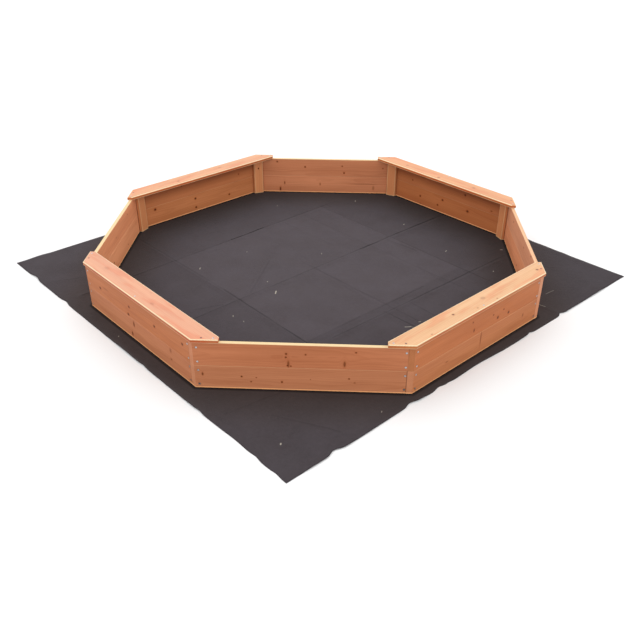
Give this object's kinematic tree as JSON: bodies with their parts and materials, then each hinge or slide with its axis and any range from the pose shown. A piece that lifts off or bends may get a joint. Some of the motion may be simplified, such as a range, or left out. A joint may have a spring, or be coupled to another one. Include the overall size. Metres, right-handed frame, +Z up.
{
  "type": "octagonal sandbox",
  "caption": "Low octagonal timber sandbox with corner seat planks on its diagonal sides, standing on a loose square sheet of black non-woven fabric.",
  "frame": {"origin": "on the floor under the middle of the octagon", "axes": "+Z up, +Y towards the back panel, +X towards the right panel; front, right, back and left panels carry no seat"},
  "size_m": [2.899, 2.899, 0.217],
  "materials": {
    "stained_panel_board": "semi-matt brown-orange stained softwood, grain along the board, small dark knots",
    "stained_post": "semi-matt brown-orange stained softwood, grain upright",
    "planed_seat": "planed softwood with a thin clear coat, pale cream and pink, rounded edges",
    "zinc_screw": "bright zinc-plated steel",
    "ground_cloth": "matt black non-woven fabric with fold creases"
  },
  "bodies": {
    "ground_sheet": {"ground_sheet": "ground_cloth"},
    "frame": {"front_lower_board": "stained_panel_board", "front_upper_board": "stained_panel_board", "front_right_lower_board": "stained_panel_board", "front_right_upper_board": "stained_panel_board", "right_lower_board": "stained_panel_board", "right_upper_board": "stained_panel_board", "back_right_lower_board": "stained_panel_board", "back_right_upper_board": "stained_panel_board", "back_lower_board": "stained_panel_board", "back_upper_board": "stained_panel_board", "back_left_lower_board": "stained_panel_board", "back_left_upper_board": "stained_panel_board", "left_lower_board": "stained_panel_board", "left_upper_board": "stained_panel_board", "front_left_lower_board": "stained_panel_board", "front_left_upper_board": "stained_panel_board", "post_front_to_front_right": "stained_post", "post_front_right_to_right": "stained_post", "post_right_to_back_right": "stained_post", "post_back_right_to_back": "stained_post", "post_back_to_back_left": "stained_post", "post_back_left_to_left": "stained_post", "post_left_to_front_left": "stained_post", "post_front_left_to_front": "stained_post", "front_right_seat": "planed_seat", "back_right_seat": "planed_seat", "back_left_seat": "planed_seat", "front_left_seat": "planed_seat", "front_panel_screws": "zinc_screw", "front_right_panel_screws": "zinc_screw", "right_panel_screws": "zinc_screw", "back_right_panel_screws": "zinc_screw", "back_panel_screws": "zinc_screw", "back_left_panel_screws": "zinc_screw", "left_panel_screws": "zinc_screw", "front_left_panel_screws": "zinc_screw", "front_right_seat_screws": "zinc_screw", "back_right_seat_screws": "zinc_screw", "back_left_seat_screws": "zinc_screw", "front_left_seat_screws": "zinc_screw"}
  },
  "joints": [
    {"name": "frame_lift", "type": "slide", "parent": "ground_sheet", "child": "frame", "axis": [0, 0, 1], "range_m": [0, 0.3]}
  ]
}
